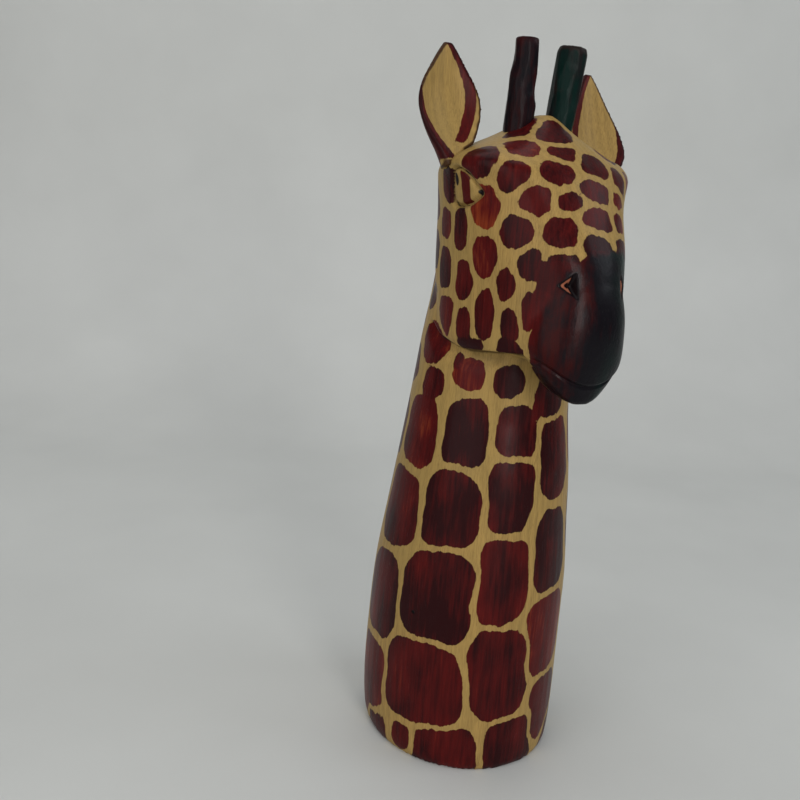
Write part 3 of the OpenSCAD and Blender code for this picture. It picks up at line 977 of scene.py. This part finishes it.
class GIRAFFE_OT_set_stage(bpy.types.Operator):
    """Set out the pale floor, the soft lights and the camera"""

    bl_idname = "giraffe.set_stage"
    bl_label = "Set the stage"

    def execute(self, context):
        settings = context.scene.giraffe_stage
        bm = bmesh.new()
        corners = [bm.verts.new((x, y, 0)) for x, y in ((-4, -4), (4, -4), (4, 0.55), (-4, 0.55))]
        bm.faces.new(corners)
        back = [edge for edge in bm.edges if all(vert.co.y > 0.5 for vert in edge.verts)]
        grown = bmesh.ops.extrude_edge_only(bm, edges=back)["geom"]
        raised = [item for item in grown if isinstance(item, bmesh.types.BMVert)]
        bmesh.ops.translate(bm, verts=raised, vec=(0, 0, WALL_HEIGHT))
        corner = [edge for edge in bm.edges if len(edge.link_faces) == 2]
        bmesh.ops.bevel(bm, geom=corner, offset=0.25, offset_type="OFFSET", segments=24,
                        profile=0.5, affect="EDGES", material=-1)
        bmesh.ops.rotate(bm, verts=bm.verts, cent=(0, 0, 0),
                         matrix=Matrix.Rotation(math.radians(WALL_TURN), 3, "Z"))
        mesh = bpy.data.meshes.new("floor_sweep")
        bm.to_mesh(mesh)
        bm.free()
        mesh.polygons.foreach_set("use_smooth", [True] * len(mesh.polygons))
        floor = bpy.data.objects.new("floor_sweep", mesh)
        context.scene.collection.objects.link(floor)
        material, tree = new_finish("pale_floor")
        cloud = grain(tree, (0.01, 0.01, 0.01), 3.0)
        low = tuple(0.94 * c for c in settings.floor_colour)
        colour = ramp(tree, cloud, (0.3, low), (0.7, tuple(settings.floor_colour)))
        tooth = grain(tree, (0.6, 0.6, 0.6), 2.0)
        tree.links.new(colour, tree.nodes["Principled BSDF"].inputs["Base Color"])
        tree.links.new(relief(tree, (tooth, 0.03)), tree.nodes["Principled BSDF"].inputs["Normal"])
        tree.nodes["Principled BSDF"].inputs["Roughness"].default_value = 0.6
        mesh.materials.append(material)

        aim = (0.0, -0.01, 0.10)
        soft_light("front_window", (-0.16, -0.98, 0.32), aim, 0.26, 0.5, settings.key_power,
                   (1.0, 0.98, 0.95))
        soft_light("side_window", (0.62, -0.46, 0.60), aim, 0.4, 0.4, settings.side_power, (0.90, 0.95, 1.0))
        soft_light("left_fill", (-0.80, -0.34, 0.34), aim, 0.8, 0.8, settings.fill_power, (1.0, 0.98, 0.96))
        soft_light("ceiling", (-0.15, 0.05, 1.15), aim, 0.9, 0.9, settings.ceiling_power, (1.0, 1.0, 1.0))
        world = bpy.data.worlds.new("room")
        world.use_nodes = True
        sky = world.node_tree.nodes["Background"]
        sky.inputs["Color"].default_value = (0.93, 0.96, 1.0, 1.0)
        sky.inputs["Strength"].default_value = settings.sky_strength
        context.scene.world = world
        context.scene.view_settings.view_transform = "Standard"

        lens = bpy.data.cameras.new("camera")
        lens.sensor_width = 36
        lens.lens = settings.lens
        lens.clip_start = 0.01
        camera = bpy.data.objects.new("camera", lens)
        camera.location = (-0.1414, -0.1945, 0.1476)
        camera.rotation_euler = tuple(math.radians(turn) for turn in (78.85, -3.81, -29.5))
        context.scene.collection.objects.link(camera)
        context.scene.camera = camera
        return {"FINISHED"}


class GIRAFFE_PT_workshop(bpy.types.Panel):
    """The carver's steps and sizes"""

    bl_idname = "GIRAFFE_PT_workshop"
    bl_label = "Carved giraffe"
    bl_space_type = "VIEW_3D"
    bl_region_type = "UI"
    bl_category = "Carving"

    def draw(self, context):
        for step in STEPS:
            self.layout.operator(step.bl_idname)
        scene = context.scene
        for group in (scene.giraffe_sizes, scene.giraffe_colours, scene.giraffe_stage):
            box = self.layout.box()
            for name in group.__annotations__:
                box.prop(group, name)


STEPS = (GIRAFFE_OT_carve_block, GIRAFFE_OT_whittle_horns, GIRAFFE_OT_shape_ears, GIRAFFE_OT_set_stage)
GROUPS = {"giraffe_sizes": CarvingSizes, "giraffe_colours": PaintColours, "giraffe_stage": StageSettings}


def register():
    for name, group in GROUPS.items():
        bpy.utils.register_class(group)
        setattr(bpy.types.Scene, name, PointerProperty(type=group))
    for item in STEPS + (GIRAFFE_PT_workshop,):
        bpy.utils.register_class(item)


def unregister():
    for item in (GIRAFFE_PT_workshop,) + STEPS:
        bpy.utils.unregister_class(item)
    for name, group in GROUPS.items():
        delattr(bpy.types.Scene, name)
        bpy.utils.unregister_class(group)


def main():
    register()
    bpy.ops.giraffe.carve_block()
    bpy.ops.giraffe.whittle_horns()
    bpy.ops.giraffe.shape_ears()
    bpy.ops.giraffe.set_stage()


if __name__ == "__main__":
    main()
